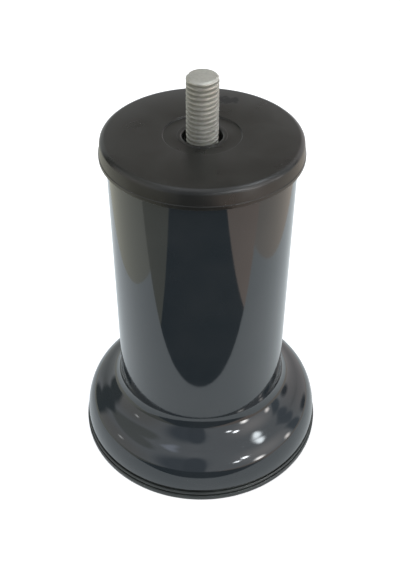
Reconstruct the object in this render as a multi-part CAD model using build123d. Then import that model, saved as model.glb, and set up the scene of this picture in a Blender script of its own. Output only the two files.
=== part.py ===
from build123d import *
import os
from math import atan2, cos, degrees, radians, sin, sqrt

# A screw-in sofa leg: a bell-footed tube with a cap, a threaded stud and a floor pad.
# Millimetres. The origin is the middle of the pad's underside and +Z runs up the stud.

# Heights of the whole leg
leg_height = 100.0
stud_height = 15.5

# Body: one shell of even wall, a straight tube that opens into a rounded bell foot. Up the
# foot run a short upright skirt, a gentle flank, a rounded shoulder and a hollow throat.
tube_radius = 24.1
body_wall = 2.2
foot_radius = 35.4
foot_skirt = 0.45
flank_radius = 16.0
flank_angle = 21.0
shoulder_radius = 7.3
throat_radius = 8.0
foot_edge_round = 0.2

# Cap: a disc whose rim hangs over the tube and whose plug goes down inside it
cap_plate = 3.0
cap_rim_wall = 1.55
cap_rim_height = 5.0
cap_rim_draft = 0.5
cap_edge_round = 1.4
cap_fit = 0.1
plug_wall = 2.0
plug_depth = 14.0
plug_clearance = 0.15

# Cap: the middle, which carries the bolt
bolt_web = 4.5
bolt_hole_clearance = 1.0
hole_mouth_round = 0.6
hole_collar_width = 1.25
hole_collar_height = 0.15
dish_radius = 9.8
dish_depth = 0.4
boss_wall = 2.5
boss_foot = 1.2
pocket_clearance = 0.05
rib_count = 6
rib_thickness = 1.6
rib_depth = 10.0

# Bolt: an M8 hexagon head screw, head down in the cap's pocket
thread_radius = 4.0
thread_runout_radius = 3.6
thread_tip_chamfer = 0.72
head_flats = 13.0
head_height = 5.3
head_corner_chamfer = 0.9

# Pad: a round plate with two outer beads and a ring that plugs the mouth of the foot
pad_radius = 36.0
pad_height = 3.8
pad_plate = 2.4
pad_sole_chamfer = 0.3
pad_flange_height = 1.7
pad_groove_radius = 35.35
pad_groove_height = 0.45
pad_bead_radius = 35.7
pad_bead_height = 0.75
pad_land_radius = 34.9
pad_ring_height = 4.0
pad_ring_wall = 2.0
pad_ring_clearance = 0.15

# Worked out from the sizes above
body_bottom = pad_height
body_top = leg_height - cap_plate
tube_bore_radius = tube_radius - body_wall
flank_centre = (foot_radius - flank_radius, body_bottom + foot_skirt)
shoulder_centre_r = flank_centre[0] + (flank_radius - shoulder_radius) * cos(radians(flank_angle))
shoulder_centre_z = flank_centre[1] + (flank_radius - shoulder_radius) * sin(radians(flank_angle))
shoulder_centre = (shoulder_centre_r, shoulder_centre_z)
throat_centre_r = tube_radius + throat_radius
throat_rise = sqrt((shoulder_radius + throat_radius) ** 2 - (throat_centre_r - shoulder_centre[0]) ** 2)
throat_centre = (throat_centre_r, shoulder_centre[1] + throat_rise)
turn_angle = degrees(atan2(throat_rise, throat_centre_r - shoulder_centre[0]))

cap_rim_radius = tube_radius + cap_fit + cap_rim_wall
cap_top_radius = cap_rim_radius - cap_rim_draft
cap_rim_bottom = leg_height - cap_rim_height
plug_radius = tube_bore_radius - plug_clearance
bolt_seat = leg_height - bolt_web
hole_radius = thread_radius + bolt_hole_clearance
pocket_flats = head_flats + 2 * pocket_clearance
boss_radius = pocket_flats / sqrt(3) + boss_wall
boss_bottom = bolt_seat - head_height - boss_foot
dish_floor = leg_height - dish_depth

ring_rise = pad_ring_height - foot_skirt
mouth_radius = flank_centre[0] + sqrt((flank_radius - body_wall) ** 2 - ring_rise ** 2)
pad_ring_radius = mouth_radius - pad_ring_clearance


def on_circle(centre, radius, angle):
    """The point of a circle in the section plane at an angle from the outward direction."""
    return (centre[0] + radius * cos(radians(angle)), centre[1] + radius * sin(radians(angle)))


def arc_about(centre, radius, start, end):
    """The arc of a circle in the section plane between two angles."""
    middle = on_circle(centre, radius, (start + end) / 2)
    return ThreePointArc(on_circle(centre, radius, start), middle, on_circle(centre, radius, end))


def turned(*edges):
    """A solid of revolution about Z from the edges of its section, radius first, then height."""
    return revolve(Plane.XZ * make_face(edges), Axis.Z)


def disc(radius, bottom, top):
    """A round slab about Z."""
    return Pos(0, 0, bottom) * Cylinder(radius, top - bottom, align=(Align.CENTER, Align.CENTER, Align.MIN))


def make_body():
    """The shell: its outer and inner faces share the centres of flank, shoulder and throat."""
    throat_end = turn_angle + 180
    outer_skirt = Line((foot_radius, body_bottom), (foot_radius, flank_centre[1]))
    outer_flank = arc_about(flank_centre, flank_radius, 0, flank_angle)
    outer_shoulder = arc_about(shoulder_centre, shoulder_radius, flank_angle, turn_angle)
    outer_throat = arc_about(throat_centre, throat_radius, throat_end, 180)
    outer_tube = Line((tube_radius, throat_centre[1]), (tube_radius, body_top))
    rim = Line((tube_radius, body_top), (tube_bore_radius, body_top))
    inner_tube = Line((tube_bore_radius, body_top), (tube_bore_radius, throat_centre[1]))
    inner_throat = arc_about(throat_centre, throat_radius + body_wall, 180, throat_end)
    inner_shoulder = arc_about(shoulder_centre, shoulder_radius - body_wall, turn_angle, flank_angle)
    inner_flank = arc_about(flank_centre, flank_radius - body_wall, flank_angle, 0)
    inner_skirt = Line((foot_radius - body_wall, flank_centre[1]), (foot_radius - body_wall, body_bottom))
    base = Line((foot_radius - body_wall, body_bottom), (foot_radius, body_bottom))
    body = turned(outer_skirt, outer_flank, outer_shoulder, outer_throat, outer_tube, rim,
                  inner_tube, inner_throat, inner_shoulder, inner_flank, inner_skirt, base)
    foot_edge = body.edges().filter_by(GeomType.CIRCLE).group_by(Axis.Z)[0].sort_by(SortBy.RADIUS)[-1]
    return fillet(foot_edge, foot_edge_round)


def make_cap_shell():
    """The plate, the drafted rim over the tube and the plug inside it, in one section."""
    top_corner = (cap_top_radius, leg_height)
    rim_corner = (cap_rim_radius, cap_rim_bottom)
    rim_bore = tube_radius + cap_fit
    plug_bottom = body_top - plug_depth
    outline = Polyline((0, leg_height), top_corner, rim_corner, (rim_bore, cap_rim_bottom),
                       (rim_bore, body_top), (plug_radius, body_top), (plug_radius, plug_bottom),
                       (plug_radius - plug_wall, plug_bottom), (plug_radius - plug_wall, body_top),
                       (0, body_top), (0, leg_height))
    shell = turned(outline)
    top_edge = shell.edges().filter_by(GeomType.CIRCLE).group_by(Axis.Z)[-1].sort_by(SortBy.RADIUS)[-1]
    return fillet(top_edge, cap_edge_round)


def make_cap_ribs():
    """Upright webs that join the boss to the plug under the plate."""
    length = plug_radius - plug_wall / 2 - (boss_radius - boss_wall / 2)
    middle = boss_radius - boss_wall / 2 + length / 2
    rib = Pos(middle, 0, body_top - rib_depth / 2) * Box(length, rib_thickness, rib_depth)
    return [Rot(0, 0, turn * 360 / rib_count) * rib for turn in range(rib_count)]


def make_top_cap():
    """The moulded cap, with its hexagon pocket, its bolt hole and the shallow dish round it."""
    cap = make_cap_shell() + disc(boss_radius, boss_bottom, body_top) + make_cap_ribs()
    pocket = RegularPolygon(pocket_flats / 2, 6, major_radius=False)
    cap -= Pos(0, 0, boss_bottom) * extrude(pocket, bolt_seat - boss_bottom)
    cap -= disc(dish_radius, dish_floor, leg_height)
    cap += disc(hole_radius + hole_collar_width, dish_floor, dish_floor + hole_collar_height)
    cap -= disc(hole_radius, bolt_seat, leg_height)
    circles = cap.edges().filter_by(GeomType.CIRCLE)
    mouth_edge = circles.filter_by(lambda edge: round(edge.radius, 3) <= hole_radius).sort_by(Axis.Z)[-1]
    return fillet(mouth_edge, hole_mouth_round)


def make_bolt():
    """The screw: hexagon head, run-out neck inside the cap, plain cylinder for the thread."""
    corner_radius = head_flats / sqrt(3)
    head_bottom = bolt_seat - head_height
    blank = disc(corner_radius, head_bottom, bolt_seat)
    head_edge = blank.edges().filter_by(GeomType.CIRCLE).sort_by(Axis.Z)[0]
    blank = chamfer(head_edge, head_corner_chamfer / 2, head_corner_chamfer)
    hexagon = RegularPolygon(head_flats / 2, 6, major_radius=False)
    head = blank & (Pos(0, 0, head_bottom) * extrude(hexagon, head_height))
    neck = disc(thread_runout_radius, bolt_seat, leg_height)
    shank = disc(thread_radius, leg_height, leg_height + stud_height)
    shank = chamfer(shank.edges().group_by(Axis.Z)[-1], thread_tip_chamfer)
    return head + neck + shank


def make_base_pad():
    """The moulded pad: flange, groove and bead outside, the land under the foot, the plug ring."""
    groove_top = pad_flange_height + pad_groove_height
    bead_top = groove_top + pad_bead_height
    ring_top = pad_height + pad_ring_height
    ring_bore = pad_ring_radius - pad_ring_wall
    outline = Polyline((0, 0), (pad_radius - pad_sole_chamfer, 0), (pad_radius, pad_sole_chamfer),
                       (pad_radius, pad_flange_height), (pad_groove_radius, pad_flange_height),
                       (pad_groove_radius, groove_top), (pad_bead_radius, groove_top),
                       (pad_bead_radius, bead_top), (pad_land_radius, bead_top),
                       (pad_land_radius, pad_height), (pad_ring_radius, pad_height),
                       (pad_ring_radius, ring_top), (ring_bore, ring_top), (ring_bore, pad_plate),
                       (0, pad_plate), (0, 0))
    return turned(outline)


def export_parts():
    """One file for each piece of the leg."""
    os.makedirs("parts", exist_ok=True)
    export_step(make_body(), "parts/body.step")
    export_step(make_top_cap(), "parts/top_cap.step")
    export_step(make_bolt(), "parts/bolt.step")
    export_step(make_base_pad(), "parts/base_pad.step")


export_parts()
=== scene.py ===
from math import atan2, cos, degrees, pi, radians, sin, sqrt, tan
import bpy
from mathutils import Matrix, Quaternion, Vector


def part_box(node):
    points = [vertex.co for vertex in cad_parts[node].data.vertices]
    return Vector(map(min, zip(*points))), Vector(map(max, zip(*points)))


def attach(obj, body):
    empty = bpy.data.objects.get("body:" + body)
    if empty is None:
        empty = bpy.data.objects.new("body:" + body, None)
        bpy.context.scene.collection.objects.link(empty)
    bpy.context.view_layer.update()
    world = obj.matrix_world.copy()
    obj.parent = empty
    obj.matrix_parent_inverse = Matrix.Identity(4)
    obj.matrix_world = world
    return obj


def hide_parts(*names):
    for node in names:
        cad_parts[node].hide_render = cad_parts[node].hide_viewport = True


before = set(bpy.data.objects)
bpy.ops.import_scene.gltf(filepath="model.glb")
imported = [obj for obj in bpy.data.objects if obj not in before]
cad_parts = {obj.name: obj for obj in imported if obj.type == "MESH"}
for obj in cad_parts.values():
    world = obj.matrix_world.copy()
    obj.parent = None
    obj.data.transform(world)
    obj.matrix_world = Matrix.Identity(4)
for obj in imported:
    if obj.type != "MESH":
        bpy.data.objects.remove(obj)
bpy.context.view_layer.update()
print("frame loaded: tube, cap, bolt and pad are in place")

mm = 0.001


# shared helpers

def linearChannel(value):
    return value / 12.92 if value <= 0.04045 else ((value + 0.055) / 1.055) ** 2.4


def linearColor(hexCode):
    channels = [int(hexCode[place:place + 2], 16) / 255 for place in (1, 3, 5)]
    return (*[linearChannel(value) for value in channels], 1.0)


def newMaterial(name):
    material = bpy.data.materials.new(name)
    material.use_nodes = True
    material.node_tree.nodes.clear()
    return material


def addNode(tree, kind, settings=None, values=None, links=None):
    node = tree.nodes.new(kind)
    for setting, value in (settings or {}).items():
        setattr(node, setting, value)
    for socket, value in (values or {}).items():
        node.inputs[socket].default_value = value
    for socket, source in (links or {}).items():
        tree.links.new(source, node.inputs[socket])
    return node


def setStops(ramp, stops):
    # stops are place and hex colour, from left to right
    elements = ramp.color_ramp.elements
    while len(elements) < len(stops):
        elements.new(1.0)
    for element, (place, hexCode) in zip(elements, stops):
        element.position = place
        element.color = linearColor(hexCode)


def noiseOf(tree, place, width, detail, more=None):
    # noise with blobs of about this width in mm
    return addNode(tree, "ShaderNodeTexNoise",
                   values={"Scale": 1 / (width * mm), "Detail": detail, **(more or {})},
                   links={"Vector": place.outputs["Object"]})


def bumpOf(tree, height, strength, depth, under=None):
    # relief of this depth in mm, on top of another bump if there is one
    links = {"Height": height}
    if under:
        links["Normal"] = under.outputs["Normal"]
    return addNode(tree, "ShaderNodeBump", values={"Strength": strength, "Distance": depth * mm}, links=links)


def tintOf(tree, noise, stops):
    tint = addNode(tree, "ShaderNodeValToRGB", links={"Fac": noise.outputs["Fac"]})
    setStops(tint, stops)
    return tint


def rangeOf(tree, noise, low, high, lowResult, highResult):
    return addNode(tree, "ShaderNodeMapRange",
                   values={"From Min": low, "From Max": high, "To Min": lowResult, "To Max": highResult},
                   links={"Value": noise.outputs["Fac"]})


def addSkin(tree, values, color, roughness, bump):
    skin = addNode(tree, "ShaderNodeBsdfPrincipled", values=values,
                   links={"Base Color": color.outputs["Color"], "Roughness": roughness.outputs["Result"],
                          "Normal": bump.outputs["Normal"]})
    addNode(tree, "ShaderNodeOutputMaterial", links={"Surface": skin.outputs["BSDF"]})


def sizeOf(node):
    # lowest and highest corner of a CAD node in mm
    low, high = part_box(node)
    return Vector(low) / mm, Vector(high) / mm


def roundCorners(corners, steps=5):
    # corners are radius, height and rounding in mm, in order round a section
    section = []
    for index, (radius, height, rounding) in enumerate(corners):
        corner = Vector((radius, height))
        if rounding == 0:
            section.append((radius, height))
            continue
        toBefore = (Vector(corners[index - 1][:2]) - corner).normalized()
        toAfter = (Vector(corners[(index + 1) % len(corners)][:2]) - corner).normalized()
        halfAngle = toBefore.angle(toAfter) / 2
        centre = corner + (toBefore + toAfter).normalized() * rounding / sin(halfAngle)
        reach = rounding / tan(halfAngle)
        spokeIn = corner + toBefore * reach - centre
        spokeOut = corner + toAfter * reach - centre
        for step in range(steps + 1):
            share = step / steps
            spoke = (spokeIn * (1 - share) + spokeOut * share).normalized() * rounding
            section.append(tuple(centre + spoke))
    return section


def arcSection(centre, radius, start, end, steps):
    # round stretch of a section, angles from the outward direction
    turns = [radians(start + (end - start) * step / steps) for step in range(steps + 1)]
    return [(centre[0] + radius * cos(turn), centre[1] + radius * sin(turn)) for turn in turns]


def turnSection(name, section, sides):
    # a ring is carried along the section by extrudes and resizes, as on a lathe
    bpy.ops.object.select_all(action="DESELECT")
    firstRadius, firstHeight = section[0]
    bpy.ops.mesh.primitive_circle_add(vertices=sides, radius=firstRadius * mm,
                                      location=(0, 0, firstHeight * mm))
    piece = bpy.context.object
    piece.name = name
    bpy.ops.object.transform_apply(location=True, rotation=True, scale=True)
    bpy.ops.object.mode_set(mode="EDIT")
    bpy.ops.mesh.select_all(action="SELECT")
    for (radiusNow, heightNow), (radiusNext, heightNext) in zip(section, section[1:]):
        lift = (0, 0, (heightNext - heightNow) * mm)
        spread = radiusNext / radiusNow
        bpy.ops.mesh.extrude_region_move(TRANSFORM_OT_translate={"value": lift})
        bpy.ops.transform.resize(value=(spread, spread, 1), center_override=(0, 0, 0))
    return piece


def closeSection(piece, throughHole, smoothAngle=30):
    # a section with a hole closes on itself, one without gets flat ends
    bpy.ops.mesh.select_all(action="DESELECT")
    if throughHole:
        bpy.ops.mesh.select_non_manifold()
        bpy.ops.mesh.bridge_edge_loops()
    else:
        bpy.ops.mesh.select_all(action="SELECT")
        bpy.ops.mesh.fill_holes(sides=0)
    bpy.ops.mesh.select_all(action="SELECT")
    bpy.ops.mesh.remove_doubles(threshold=0.000001)
    bpy.ops.mesh.normals_make_consistent(inside=False)
    bpy.ops.object.mode_set(mode="OBJECT")
    bpy.ops.object.shade_smooth_by_angle(angle=radians(smoothAngle))


def cutWith(piece, tool, operation):
    # joins, cuts or trims a piece with another closed one, which is then deleted
    bpy.ops.object.select_all(action="DESELECT")
    bpy.context.view_layer.objects.active = piece
    piece.select_set(True)
    modifier = piece.modifiers.new("cut", "BOOLEAN")
    modifier.operation = operation
    modifier.solver = "EXACT"
    modifier.object = tool
    bpy.ops.object.modifier_apply(modifier=modifier.name)
    bpy.data.objects.remove(tool, do_unlink=True)


def hexPrism(name, flats, bottom, top):
    bpy.ops.object.select_all(action="DESELECT")
    bpy.ops.mesh.primitive_cylinder_add(vertices=6, radius=flats / sqrt(3) * mm, depth=(top - bottom) * mm,
                                        location=(0, 0, (bottom + top) / 2 * mm))
    prism = bpy.context.object
    prism.name = name
    bpy.ops.object.transform_apply(location=True, rotation=True, scale=True)
    return prism


def finishPiece(piece, node, material):
    piece.data.materials.clear()
    piece.data.materials.append(material)
    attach(piece, "root")
    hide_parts(node)


# anthracite ABS, moulded in a polished tool and lacquered: deep gloss that mirrors the room

def glossAnthraciteAbs():
    material = newMaterial("lacqueredAnthraciteAbs")
    tree = material.node_tree
    place = addNode(tree, "ShaderNodeTexCoord")
    # the lacquer has a faint orange peel, waves of about 2 mm
    peel = noiseOf(tree, place, 2.2, 1.0, {"Roughness": 0.4})
    peelBump = bumpOf(tree, peel.outputs["Fac"], 0.35, 0.006)
    # dust nibs under the lacquer, about 0.6 mm across and well apart
    nibs = addNode(tree, "ShaderNodeTexVoronoi", values={"Scale": 1 / (6.5 * mm), "Randomness": 1.0},
                   links={"Vector": place.outputs["Object"]})
    nibShape = addNode(tree, "ShaderNodeMapRange", {"interpolation_type": "SMOOTHSTEP"},
                       {"From Min": 0.0, "From Max": 0.045, "To Min": 1.0, "To Max": 0.0},
                       {"Value": nibs.outputs["Distance"]})
    nibBump = bumpOf(tree, nibShape.outputs["Result"], 0.5, 0.03, peelBump)
    # pigment clouds of about 15 mm, hardly darker or lighter than the rest
    clouds = noiseOf(tree, place, 15, 2.0)
    tint = tintOf(tree, clouds, [(0.3, "#1f2529"), (0.7, "#272b2e")])
    # handling haze: the gloss is a little softer in patches
    haze = rangeOf(tree, clouds, 0.35, 0.75, 0.05, 0.085)
    addSkin(tree, {"IOR": 1.58, "Metallic": 0.0}, tint, haze, nibBump)
    return material


# tube and bell foot

body = {
    "tubeRadius": 24.1,
    "wall": 2.2,
    "skirt": 0.45,            # short upright strip at the foot's edge
    "flankRadius": 16.0,      # gentle curve up the side of the bell
    "flankAngle": 21.0,
    "shoulderRadius": 7.3,    # rounding of the bell's shoulder
    "throatRadius": 8.0,      # hollow between shoulder and tube
    "edgeRound": 0.2,
    "rimRound": 0.2,
    "throatRings": (0.3, 1.0),    # heights of the close rings above the throat
    "topRings": (1.0, 0.4),       # and below the top
    "sides": 288,
}


def buildBody():
    low, high = sizeOf("body")
    bottom, top, footRadius = low.z, high.z, high.x
    flank = (footRadius - body["flankRadius"], bottom + body["skirt"])
    inset = body["flankRadius"] - body["shoulderRadius"]
    shoulder = arcSection(flank, inset, body["flankAngle"], body["flankAngle"], 1)[0]
    across = body["tubeRadius"] + body["throatRadius"] - shoulder[0]
    rise = sqrt((body["shoulderRadius"] + body["throatRadius"]) ** 2 - across ** 2)
    throat = (shoulder[0] + across, shoulder[1] + rise)
    turn = degrees(atan2(rise, across))
    bore = body["tubeRadius"] - body["wall"]
    mouth = footRadius - body["wall"]
    foot = roundCorners([(mouth, bottom, 0), (footRadius, bottom, body["edgeRound"]),
                         (footRadius, flank[1], 0)])
    outside = arcSection(flank, body["flankRadius"], 0, body["flankAngle"], 20)
    outside += arcSection(shoulder, body["shoulderRadius"], body["flankAngle"], turn, 40)[1:]
    outside += arcSection(throat, body["throatRadius"], turn + 180, 180, 52)[1:]
    # close rings at both ends of the straight tube keep its mirror image straight
    ringHeights = [throat[1] + height for height in body["throatRings"]]
    ringHeights += [top - depth for depth in body["topRings"]]
    rings = [(body["tubeRadius"], height, 0) for height in ringHeights]
    boreBottom = throat[1] + body["throatRings"][-1]
    rim = roundCorners([*rings, (body["tubeRadius"], top, body["rimRound"]),
                        (bore, top, body["rimRound"]), (bore, boreBottom, 0)], steps=3)
    inside = arcSection(throat, body["throatRadius"] + body["wall"], 180, turn + 180, 20)
    inside += arcSection(shoulder, body["shoulderRadius"] - body["wall"], turn, body["flankAngle"], 10)[1:]
    inside += arcSection(flank, body["flankRadius"] - body["wall"], body["flankAngle"], 0, 10)[1:]
    section = foot[:-1] + outside + rim + inside
    shell = turnSection("bodyShell", section, body["sides"])
    closeSection(shell, throughHole=True)
    finishPiece(shell, "body", glossAnthraciteAbs())
    print("tube and bell foot turned")


buildBody()


# black polypropylene, moulded against a finely etched tool: an even satin black

scuffs = {
    "at": (6.3, 17.5, 100),
    "size": (6.5, 4.5, 3),
    "speck": 2.0,
    "color": "#0b0b0b",
    "roughness": 0.65,
}


def addScuffs(tree, place, tint, polish):
    # dark, dull specks in one patch of the cap, mixed into its tint and its polish
    patch = addNode(tree, "ShaderNodeMapping", {"vector_type": "TEXTURE"},
                    {"Location": Vector(scuffs["at"]) * mm, "Scale": Vector(scuffs["size"]) * mm},
                    {"Vector": place.outputs["Object"]})
    spot = addNode(tree, "ShaderNodeTexGradient", {"gradient_type": "SPHERICAL"},
                   links={"Vector": patch.outputs["Vector"]})
    specks = noiseOf(tree, place, scuffs["speck"], 2.0)
    worn = addNode(tree, "ShaderNodeMath", {"operation": "MULTIPLY"},
                   links={0: spot.outputs["Fac"], 1: specks.outputs["Fac"]})
    rubbed = addNode(tree, "ShaderNodeMapRange", {"interpolation_type": "SMOOTHSTEP"},
                     {"From Min": 0.2, "From Max": 0.36}, {"Value": worn.outputs["Value"]})
    color = addNode(tree, "ShaderNodeMixRGB", values={"Color2": linearColor(scuffs["color"])},
                    links={"Fac": rubbed.outputs["Result"], "Color1": tint.outputs["Color"]})
    dulled = addNode(tree, "ShaderNodeMapRange", values={"To Max": scuffs["roughness"]},
                     links={"Value": rubbed.outputs["Result"], "To Min": polish.outputs["Result"]})
    return color, dulled


def satinBlackPp():
    material = newMaterial("mouldedSatinBlackPp")
    tree = material.node_tree
    place = addNode(tree, "ShaderNodeTexCoord")
    # etched grain of about 0.25 mm, drawn twice as coarse so that it shows
    grain = noiseOf(tree, place, 0.5, 3.0, {"Roughness": 0.6})
    grainBump = bumpOf(tree, grain.outputs["Fac"], 0.3, 0.02)
    # flow marks of about 9 mm where the melt met the tool
    flow = noiseOf(tree, place, 9, 3.0, {"Distortion": 0.6})
    tint = tintOf(tree, flow, [(0.3, "#161615"), (0.7, "#1e1e1c")])
    polish = rangeOf(tree, flow, 0.3, 0.7, 0.26, 0.34)
    color, roughness = addScuffs(tree, place, tint, polish)
    addSkin(tree, {"IOR": 1.49, "Metallic": 0.0}, color, roughness, grainBump)
    return material


# cap with its overhanging rim, plug, boss and bolt pocket

cap = {
    "top": 100.0,
    "topRadius": 25.25,
    "rimRadius": 25.75,
    "rimBottom": 95.0,
    "rimBore": 24.2,
    "edgeRound": 1.4,
    "flashHeight": 1.1,      # thin lip left by the tool at the rim's lower edge
    "flashWidth": 0.12,
    "flashSlope": 0.12,
    "plateBottom": 97.0,
    "plugRadius": 21.75,
    "plugBore": 19.75,
    "plugBottom": 83.0,
    "bossRadius": 10.06,
    "bossBottom": 89.0,
    "holeRadius": 5.0,
    "collarRadius": 6.25,
    "collarTop": 99.75,
    "dishRadius": 9.8,
    "dishFloor": 99.6,
    "pocketFlats": 13.1,
    "pocketTop": 95.5,
    "ribs": 6,
    "ribThickness": 1.6,
    "ribDepth": 10.0,
    "ribSink": 0.5,          # how far a rib runs up into the plate
    "ribBossSink": 1.25,     # into the boss
    "ribPlugSink": 1.0,      # and into the plug
    "sides": 240,
}


def joinCapRibs(shell):
    inner = cap["bossRadius"] - cap["ribBossSink"]
    length = cap["plugRadius"] - cap["ribPlugSink"] - inner
    top = cap["plateBottom"] + cap["ribSink"]
    bottom = cap["plateBottom"] - cap["ribDepth"]
    for number in range(cap["ribs"]):
        turn = 2 * pi * number / cap["ribs"]
        middle = Vector((cos(turn), sin(turn), 0)) * (inner + length / 2)
        middle.z = (bottom + top) / 2
        bpy.ops.object.select_all(action="DESELECT")
        bpy.ops.mesh.primitive_cube_add(size=1, location=middle * mm, rotation=(0, 0, turn))
        rib = bpy.context.object
        rib.scale = Vector((length, cap["ribThickness"], top - bottom)) * mm
        bpy.ops.object.transform_apply(location=True, rotation=True, scale=True)
        cutWith(shell, rib, "UNION")


def buildCap():
    flashRadius = cap["rimRadius"] + cap["flashWidth"]
    flashTop = cap["rimBottom"] + cap["flashHeight"]
    corners = [
        (cap["holeRadius"], cap["bossBottom"], 0.0),
        (cap["holeRadius"], cap["collarTop"], 0.6),
        (cap["collarRadius"], cap["collarTop"], 0.08),
        (cap["collarRadius"], cap["dishFloor"], 0.06),
        (cap["dishRadius"], cap["dishFloor"], 0.15),
        (cap["dishRadius"] + 0.1, cap["top"], 0.12),
        (cap["topRadius"], cap["top"], cap["edgeRound"]),
        (cap["rimRadius"], flashTop, 0.0),
        (flashRadius, flashTop - cap["flashSlope"], 0.05),
        (flashRadius, cap["rimBottom"], 0.08),
        (cap["rimBore"], cap["rimBottom"], 0.15),
        (cap["rimBore"], cap["plateBottom"], 0.0),
        (cap["plugRadius"], cap["plateBottom"], 0.0),
        (cap["plugRadius"], cap["plugBottom"], 0.4),
        (cap["plugBore"], cap["plugBottom"], 0.4),
        (cap["plugBore"], cap["plateBottom"], 0.5),
        (cap["bossRadius"], cap["plateBottom"], 0.5),
        (cap["bossRadius"], cap["bossBottom"], 0.3),
    ]
    shell = turnSection("capMoulding", roundCorners(corners), cap["sides"])
    closeSection(shell, throughHole=True, smoothAngle=35)
    joinCapRibs(shell)
    pocket = hexPrism("boltPocket", cap["pocketFlats"], cap["bossBottom"] - 1, cap["pocketTop"])
    cutWith(shell, pocket, "DIFFERENCE")
    finishPiece(shell, "top_cap", satinBlackPp())
    print("cap moulded")


buildCap()


# zinc plated steel, rolled thread: pale grey metal with a dull sheen

def zincPlatedSteel():
    material = newMaterial("zincPlatedRolledSteel")
    tree = material.node_tree
    place = addNode(tree, "ShaderNodeTexCoord")
    # plating crystals of about 0.3 mm, drawn twice as coarse so that they show
    crystals = noiseOf(tree, place, 0.6, 3.0)
    crystalBump = bumpOf(tree, crystals.outputs["Fac"], 0.25, 0.02)
    tint = tintOf(tree, crystals, [(0.3, "#b4b3ac"), (0.7, "#c4c3bc")])
    dull = rangeOf(tree, crystals, 0.3, 0.7, 0.56, 0.66)
    addSkin(tree, {"Metallic": 1.0}, tint, dull, crystalBump)
    return material


# M8 hexagon bolt, head down in the cap

bolt = {
    "crestRadius": 4.0,
    "rootRadius": 3.24,
    "pitch": 1.25,
    "crestFlat": 0.45,
    "ridgeFoot": 1.06,        # width of a thread ridge where it meets the core
    "tip": 115.5,
    "tipChamfer": 0.5,
    "seat": 95.5,
    "headFlats": 13.0,
    "headHeight": 5.3,
    "headChamfer": (0.9, 0.45),    # across and up, at the head's lower corners
    "runoutRadius": 3.6,
    "threadBottom": 96.6,
    "ridgeSink": 0.1,         # how far a ridge runs into the core
    "axisHole": 0.5,          # smallest ring of a section, before its ends are filled
    "sides": 96,
}


def buildThreadRidge():
    # one tooth of the thread, then swept up the shank as a right-hand helix
    depth = bolt["crestRadius"] - bolt["rootRadius"] + bolt["ridgeSink"]
    middle = (bolt["crestRadius"] - depth / 2) * mm
    bottom = bolt["threadBottom"] * mm
    turns = int((bolt["tip"] - bolt["threadBottom"]) / bolt["pitch"]) + 1
    bpy.ops.object.select_all(action="DESELECT")
    bpy.ops.mesh.primitive_plane_add(size=1, location=(0, 0, 0), rotation=(radians(90), 0, 0))
    ridge = bpy.context.object
    ridge.name = "threadRidge"
    ridge.scale = (depth * mm, bolt["ridgeFoot"] * mm, 1)
    ridge.location = (middle, 0, bottom)
    bpy.ops.object.transform_apply(location=True, rotation=True, scale=True)
    crest = [vertex for vertex in ridge.data.vertices if vertex.co.x > middle]
    for vertex in crest:
        vertex.co.z = bottom + (vertex.co.z - bottom) * bolt["crestFlat"] / bolt["ridgeFoot"]
    sweep = ridge.modifiers.new("helix", "SCREW")
    sweep.axis = "Z"
    sweep.angle = 2 * pi
    sweep.screw_offset = bolt["pitch"] * mm
    sweep.iterations = turns
    sweep.steps = bolt["sides"]
    sweep.render_steps = bolt["sides"]
    sweep.use_smooth_shade = False
    bpy.ops.object.modifier_apply(modifier=sweep.name)
    bpy.ops.object.mode_set(mode="EDIT")
    bpy.ops.mesh.select_all(action="SELECT")
    bpy.ops.mesh.remove_doubles(threshold=0.000001)
    bpy.ops.mesh.fill_holes(sides=0)
    bpy.ops.mesh.select_all(action="SELECT")
    bpy.ops.mesh.normals_make_consistent(inside=False)
    bpy.ops.object.mode_set(mode="OBJECT")
    return ridge


def buildBolt():
    tip = bolt["tip"]
    headBottom = bolt["seat"] - bolt["headHeight"]
    cornerRadius = bolt["headFlats"] / sqrt(3)
    chamferAcross, chamferUp = bolt["headChamfer"]
    hole = bolt["axisHole"]
    blank = turnSection("threadBlank", roundCorners([
        (hole, bolt["seat"] - 1, 0.0),
        (bolt["crestRadius"], bolt["seat"] - 1, 0.0),
        (bolt["crestRadius"], tip - bolt["tipChamfer"], 0.3),
        (bolt["crestRadius"] - bolt["tipChamfer"], tip, 0.2),
        (hole, tip, 0.0),
    ], steps=4), bolt["sides"])
    closeSection(blank, throughHole=False)
    ridge = buildThreadRidge()
    cutWith(ridge, blank, "INTERSECT")
    core = turnSection("boltCore", roundCorners([
        (hole, headBottom, 0.0),
        (cornerRadius - chamferAcross, headBottom, 0.0),
        (cornerRadius, headBottom + chamferUp, 0.0),
        (cornerRadius, bolt["seat"], 0.0),
        (bolt["runoutRadius"], bolt["seat"], 0.2),
        (bolt["runoutRadius"], bolt["threadBottom"], 0.0),
        (bolt["rootRadius"], bolt["threadBottom"] + 0.4, 0.0),
        (bolt["rootRadius"], tip, 0.2),
        (hole, tip, 0.0),
    ], steps=4), bolt["sides"])
    closeSection(core, throughHole=False)
    cutWith(core, ridge, "UNION")
    core.name = "hexBolt"
    bpy.ops.object.select_all(action="DESELECT")
    bpy.context.view_layer.objects.active = core
    core.select_set(True)
    bpy.ops.object.shade_smooth_by_angle(angle=radians(25))
    finishPiece(core, "bolt", zincPlatedSteel())
    print("bolt turned and threaded")


buildBolt()


# black soft PVC, moulded: near black with a dull sheen, a little green against the cap

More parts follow.
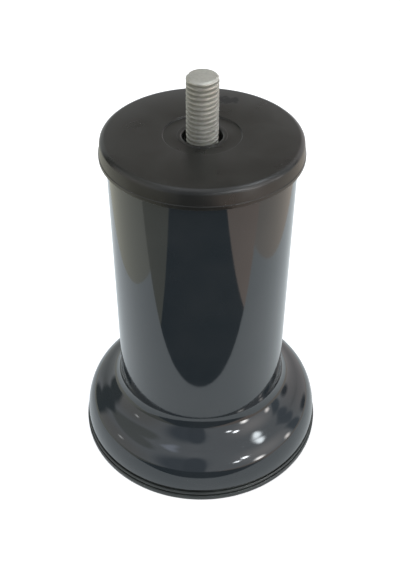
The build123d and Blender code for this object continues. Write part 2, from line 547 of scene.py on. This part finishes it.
def dullBlackPvc():
    material = newMaterial("mouldedDullBlackPvc")
    tree = material.node_tree
    place = addNode(tree, "ShaderNodeTexCoord")
    # tool texture of about 0.3 mm, drawn as 0.7 mm so that it shows
    grain = noiseOf(tree, place, 0.7, 3.0)
    grainBump = bumpOf(tree, grain.outputs["Fac"], 0.35, 0.03)
    # dust in patches of about 6 mm
    dust = noiseOf(tree, place, 6, 4.0)
    tint = tintOf(tree, dust, [(0.35, "#1c1f1e"), (0.75, "#2b2f2d")])
    sheen = rangeOf(tree, dust, 0.3, 0.7, 0.3, 0.42)
    addSkin(tree, {"IOR": 1.53, "Metallic": 0.0}, tint, sheen, grainBump)
    return material


# floor pad with its flange, groove and bead

pad = {
    "radius": 36.0,
    "flangeTop": 1.7,
    "grooveRadius": 35.35,
    "grooveTop": 2.15,
    "beadRadius": 35.7,
    "beadTop": 2.9,
    "landRadius": 34.9,
    "landTop": 3.8,
    "ringRadius": 32.59,
    "ringBore": 30.59,
    "ringTop": 7.8,
    "plateTop": 2.4,
    "soleChamfer": 0.3,
    "axisHole": 1.0,          # smallest ring of the section, before its ends are filled
    "sides": 288,
}


def buildPad():
    corners = [
        (pad["axisHole"], 0.0, 0.0),
        (pad["radius"] - pad["soleChamfer"], 0.0, 0.1),
        (pad["radius"], pad["soleChamfer"], 0.2),
        (pad["radius"], pad["flangeTop"], 0.25),
        (pad["grooveRadius"], pad["flangeTop"], 0.1),
        (pad["grooveRadius"], pad["grooveTop"], 0.1),
        (pad["beadRadius"], pad["grooveTop"], 0.15),
        (pad["beadRadius"], pad["beadTop"], 0.3),
        (pad["landRadius"], pad["beadTop"], 0.1),
        (pad["landRadius"], pad["landTop"], 0.1),
        (pad["ringRadius"], pad["landTop"], 0.0),
        (pad["ringRadius"], pad["ringTop"], 0.3),
        (pad["ringBore"], pad["ringTop"], 0.3),
        (pad["ringBore"], pad["plateTop"], 0.4),
        (pad["axisHole"], pad["plateTop"], 0.0),
    ]
    sole = turnSection("floorPad", roundCorners(corners, steps=4), pad["sides"])
    closeSection(sole, throughHole=False)
    finishPiece(sole, "base_pad", dullBlackPvc())
    print("floor pad moulded")


buildPad()


# studio: a pale floor, an even sky and two softboxes light the leg. Its gloss sees painted
# reflections of a room and a bench instead, which nothing else does

floorFinish = {"albedo": "#f2f2f2", "lift": 0.35, "size": 4000.0}


def glossOnly(piece):
    # seen in the gloss alone: it lights nothing and casts no shadow
    piece.active_material.cycles.emission_sampling = "NONE"
    piece.visible_camera = False
    piece.visible_diffuse = False
    piece.visible_transmission = False
    piece.visible_volume_scatter = False
    piece.visible_shadow = False


def buildFloor():
    material = newMaterial("paleStudioFloor")
    tree = material.node_tree
    rays = addNode(tree, "ShaderNodeLightPath")
    lift = addNode(tree, "ShaderNodeMath", {"operation": "MULTIPLY"}, {1: floorFinish["lift"]},
                   {0: rays.outputs["Is Camera Ray"]})
    paint = addNode(tree, "ShaderNodeBsdfDiffuse", values={"Color": linearColor(floorFinish["albedo"])})
    glow = addNode(tree, "ShaderNodeEmission", values={"Color": (1, 1, 1, 1)},
                   links={"Strength": lift.outputs["Value"]})
    both = addNode(tree, "ShaderNodeAddShader", links={0: paint.outputs["BSDF"], 1: glow.outputs["Emission"]})
    addNode(tree, "ShaderNodeOutputMaterial", links={"Surface": both.outputs["Shader"]})
    bpy.ops.object.select_all(action="DESELECT")
    bpy.ops.mesh.primitive_plane_add(size=floorFinish["size"] * mm, location=(0, 0, 0))
    floor = bpy.context.object
    floor.name = "studioFloor"
    floor.data.materials.append(material)
    floor.visible_glossy = False


# what lies round the leg: corners in mm, colour, and strength where the piece glows by itself as
# a painted reflection, the dark one in front as painted shade. A piece without strength is lit by the studio
bench = {
    "whiteSheet": {"corners": [(-96, -54.5), (112, -59.5), (112, 260), (-96, 260)], "color": "#ebf1f1"},
    # painted shade in front of the leg: a dark glowing piece seen in the gloss alone
    "frontShade": {
        "corners": [(-360, -700), (90, -700), (70, -58.4), (-60, -55.3)],
        "color": "#98a2a6", "strength": 0.17,
    },
    "leftMat": {
        "corners": [(-420, -700), (-360, -700), (-60, -55.3), (-420, -46.3)],
        "color": "#c4c2ae", "strength": 0.9,
    },
    "rightMat": {
        "corners": [(90, -700), (420, -700), (420, -66.5), (70, -58.4)],
        "color": "#f4dccb", "strength": 1.25,
    },
    "leftTop": {
        "corners": [(-420, -46.3), (-96, -54.5), (-96, 260), (-420, 260)],
        "color": "#e8e8d8", "strength": 1.1,
    },
    "rightTop": {
        "corners": [(112, -59.5), (420, -66.5), (420, 260), (112, 260)],
        "color": "#f4e8da", "strength": 1.1,
    },
}


# just above the floor
benchHeight = 0.05


def buildBenchPiece(name, piece):
    bpy.ops.object.select_all(action="DESELECT")
    bpy.ops.mesh.primitive_plane_add(size=1)
    plane = bpy.context.object
    plane.name = name
    # the plane's corners run lower left, lower right, upper left, upper right
    for vertex, corner in zip(plane.data.vertices, [piece["corners"][index] for index in (0, 1, 3, 2)]):
        vertex.co = Vector((*corner, benchHeight)) * mm
    material = newMaterial(name + "Finish")
    tree = material.node_tree
    color = linearColor(piece["color"])
    # a piece with strength glows as a painted reflection, a piece without it is lit
    if "strength" in piece:
        skin = addNode(tree, "ShaderNodeEmission", values={"Color": color, "Strength": piece["strength"]})
    else:
        skin = addNode(tree, "ShaderNodeBsdfDiffuse", values={"Color": color})
    addNode(tree, "ShaderNodeOutputMaterial", links={"Surface": skin.outputs[0]})
    plane.data.materials.append(material)
    glossOnly(plane)


# patches of painted reflection on the room's walls, painted in this order: bearing from the front towards +X
# and rise above the floor's line in degrees, then width, height and softness of the edge. Lamps, window and
# dark shapes stand where highlights and shades were measured in the real leg's gloss, rounded.
# The lamps and the window are painted highlights and the rest painted reflections: none of them lights
# anything
room = {"radius": 1500.0, "color": "#eef2f6", "strength": 1.25}
patches = {
    "backWall": {"at": (180, 42), "size": (120, 56), "soft": 0.5, "color": "#b4aea4", "strength": 0.7},
    "leftWall": {"at": (-85, 5), "size": (110, 100), "soft": 0.7, "color": "#f6f2ea", "strength": 1.02},
    "leftFar": {"at": (-150, 12), "size": (50, 80), "soft": 0.6, "color": "#eef2f0", "strength": 1.0},
    "leftShelf": {"at": (-98, 55), "size": (62, 30), "soft": 0.4, "color": "#d8dace", "strength": 0.9},
    "leftStrip": {"at": (-95, 77), "size": (40, 10), "soft": 0.9, "color": "#e6eeff", "strength": 2.6},
    "rightWall": {"at": (138, 12), "size": (76, 84), "soft": 0.6, "color": "#fbf5f4", "strength": 1.2},
    "rightGlow": {"at": (62, 25), "size": (70, 80), "soft": 1.0, "color": "#fffaf8", "strength": 2.1},
    "frontHaze": {"at": (-18, 24), "size": (56, 100), "soft": 0.6, "color": "#bcc4d0", "strength": 0.72},
    "frontFigure": {"at": (-5, 20), "size": (22, 100), "soft": 0.3, "color": "#aab2be", "strength": 0.72},
    "frontLow": {"at": (-2, -8), "size": (80, 32), "soft": 0.8, "color": "#949ca4", "strength": 0.75},
    "leftDoor": {"at": (-117, 6), "size": (30, 70), "soft": 0.4, "color": "#6a7066", "strength": 0.75},
    "leftDoorTop": {"at": (-128, 38), "size": (20, 46), "roll": -34,
                    "soft": 0.4, "color": "#6a7066", "strength": 0.8},
    "window": {"at": (92, 61), "size": (42, 8), "roll": -37,
               "soft": 0.8, "color": "#f2faff", "strength": 16.0},
    "curtain": {"at": (96, 10), "size": (16, 64), "soft": 0.5, "color": "#a8b4c0", "strength": 0.85},
    "curtainTop": {"at": (113, 44), "size": (14, 46), "roll": 39,
                   "soft": 0.5, "color": "#aeb8c4", "strength": 0.95},
    "rightChair": {"at": (115, 6), "size": (20, 34), "soft": 0.7, "color": "#646468", "strength": 0.8},
    "lampHighlightA": {"at": (42, 31), "size": (9, 10), "soft": 0.9, "color": "#f6faff", "strength": 40.0},
    "lampHighlightB": {"at": (33, 24.5), "size": (9, 7), "soft": 0.9, "color": "#f6faff", "strength": 30.0},
    "lampHighlightC": {"at": (51.5, 3), "size": (15, 20), "soft": 1.0, "color": "#fffcfa", "strength": 18.0},
    "lampHighlightD": {"at": (83, 6), "size": (10, 22), "soft": 1.0, "color": "#fff8f4", "strength": 10.0},
    "lampHighlightE": {"at": (-78.5, 21), "size": (8, 9), "soft": 1.0, "color": "#ffffff", "strength": 5.0},
}


def directionTo(bearing, rise):
    return Vector((sin(bearing) * cos(rise), -cos(bearing) * cos(rise), sin(rise)))


def paintPatch(tree, place, under, patch):
    bearing, rise = [radians(angle) for angle in patch["at"]]
    toPatch = directionTo(bearing, rise)
    width, height = [2 * room["radius"] * sin(radians(size) / 4) * mm for size in patch["size"]]
    facing = (-toPatch).to_track_quat("Z", "Y")
    turn = (facing @ Quaternion((0, 0, 1), radians(patch.get("roll", 0)))).to_euler()
    local = addNode(tree, "ShaderNodeMapping", {"vector_type": "TEXTURE"},
                    {"Location": toPatch * room["radius"] * mm, "Rotation": turn,
                     "Scale": (width, height, height)},
                    {"Vector": place.outputs["Object"]})
    spot = addNode(tree, "ShaderNodeTexGradient", {"gradient_type": "SPHERICAL"},
                   links={"Vector": local.outputs["Vector"]})
    cover = addNode(tree, "ShaderNodeMapRange", {"interpolation_type": "SMOOTHSTEP"},
                    {"From Min": 0.0, "From Max": patch["soft"]}, {"Value": spot.outputs["Fac"]})
    light = [channel * patch["strength"] for channel in linearColor(patch["color"])[:3]]
    return addNode(tree, "ShaderNodeMixRGB", values={"Color2": (*light, 1.0)},
                   links={"Fac": cover.outputs["Result"], "Color1": under})


# the room glows with painted reflections and painted highlights, seen in the gloss alone
def buildRoom():
    material = newMaterial("paintedRoom")
    tree = material.node_tree
    place = addNode(tree, "ShaderNodeTexCoord")
    wall = [channel * room["strength"] for channel in linearColor(room["color"])[:3]]
    paint = addNode(tree, "ShaderNodeRGB")
    paint.outputs["Color"].default_value = (*wall, 1.0)
    for patch in patches.values():
        paint = paintPatch(tree, place, paint.outputs["Color"], patch)
    glow = addNode(tree, "ShaderNodeEmission", links={"Color": paint.outputs["Color"]})
    addNode(tree, "ShaderNodeOutputMaterial", links={"Surface": glow.outputs["Emission"]})
    bpy.ops.object.select_all(action="DESELECT")
    bpy.ops.mesh.primitive_uv_sphere_add(segments=96, ring_count=48, radius=room["radius"] * mm)
    shell = bpy.context.object
    shell.name = "studioRoom"
    shell.data.materials.append(material)
    glossOnly(shell)


softboxes = {
    "overhead": {"place": (-150, -100, 1300), "size": 900, "power": 9.0, "color": "#f2f6ff"},
    "fill": {"place": (900, -700, 900), "size": 700, "power": 4.0, "color": "#fff8f0"},
}


def buildSoftbox(name, box):
    bpy.ops.object.select_all(action="DESELECT")
    place = Vector(box["place"]) * mm
    bpy.ops.object.light_add(type="AREA", location=place)
    light = bpy.context.object
    light.name = name
    light.data.shape = "DISK"
    light.data.size = box["size"] * mm
    light.data.energy = box["power"]
    light.data.color = linearColor(box["color"])[:3]
    light.rotation_euler = (Vector((0, 0, 0.05)) - place).to_track_quat("-Z", "Y").to_euler()
    light.visible_glossy = False


def buildSky():
    # white behind the floor, and a plain soft light on the leg
    world = bpy.data.worlds.new("softRoom")
    bpy.context.scene.world = world
    world.use_nodes = True
    tree = world.node_tree
    tree.nodes.clear()
    rays = addNode(tree, "ShaderNodeLightPath")
    strength = addNode(tree, "ShaderNodeMapRange", values={"To Min": 0.75, "To Max": 1.0},
                       links={"Value": rays.outputs["Is Camera Ray"]})
    sky = addNode(tree, "ShaderNodeBackground", values={"Color": linearColor("#f8fafc")},
                  links={"Strength": strength.outputs["Result"]})
    addNode(tree, "ShaderNodeOutputWorld", links={"Surface": sky.outputs["Background"]})


buildFloor()
for pieceName, piece in bench.items():
    buildBenchPiece(pieceName, piece)
buildRoom()
for boxName, box in softboxes.items():
    buildSoftbox(boxName, box)
buildSky()
print("studio set up")


# camera, held above the leg and looking down on the cap

lookout = {"place": (0.0, -181.94, 204.64), "tilt": (49.637, -0.184, 0.2825), "lens": 53.02, "lift": 0.00642}


def buildCamera():
    bpy.ops.object.select_all(action="DESELECT")
    bpy.ops.object.camera_add(location=Vector(lookout["place"]) * mm,
                              rotation=[radians(angle) for angle in lookout["tilt"]])
    camera = bpy.context.object
    camera.name = "lookoutCamera"
    camera.data.sensor_width = 36.0
    camera.data.lens = lookout["lens"]
    camera.data.shift_y = lookout["lift"]
    camera.data.clip_start = 0.01
    bpy.context.scene.camera = camera


buildCamera()
bpy.context.scene.view_settings.view_transform = "Standard"
print("camera placed")
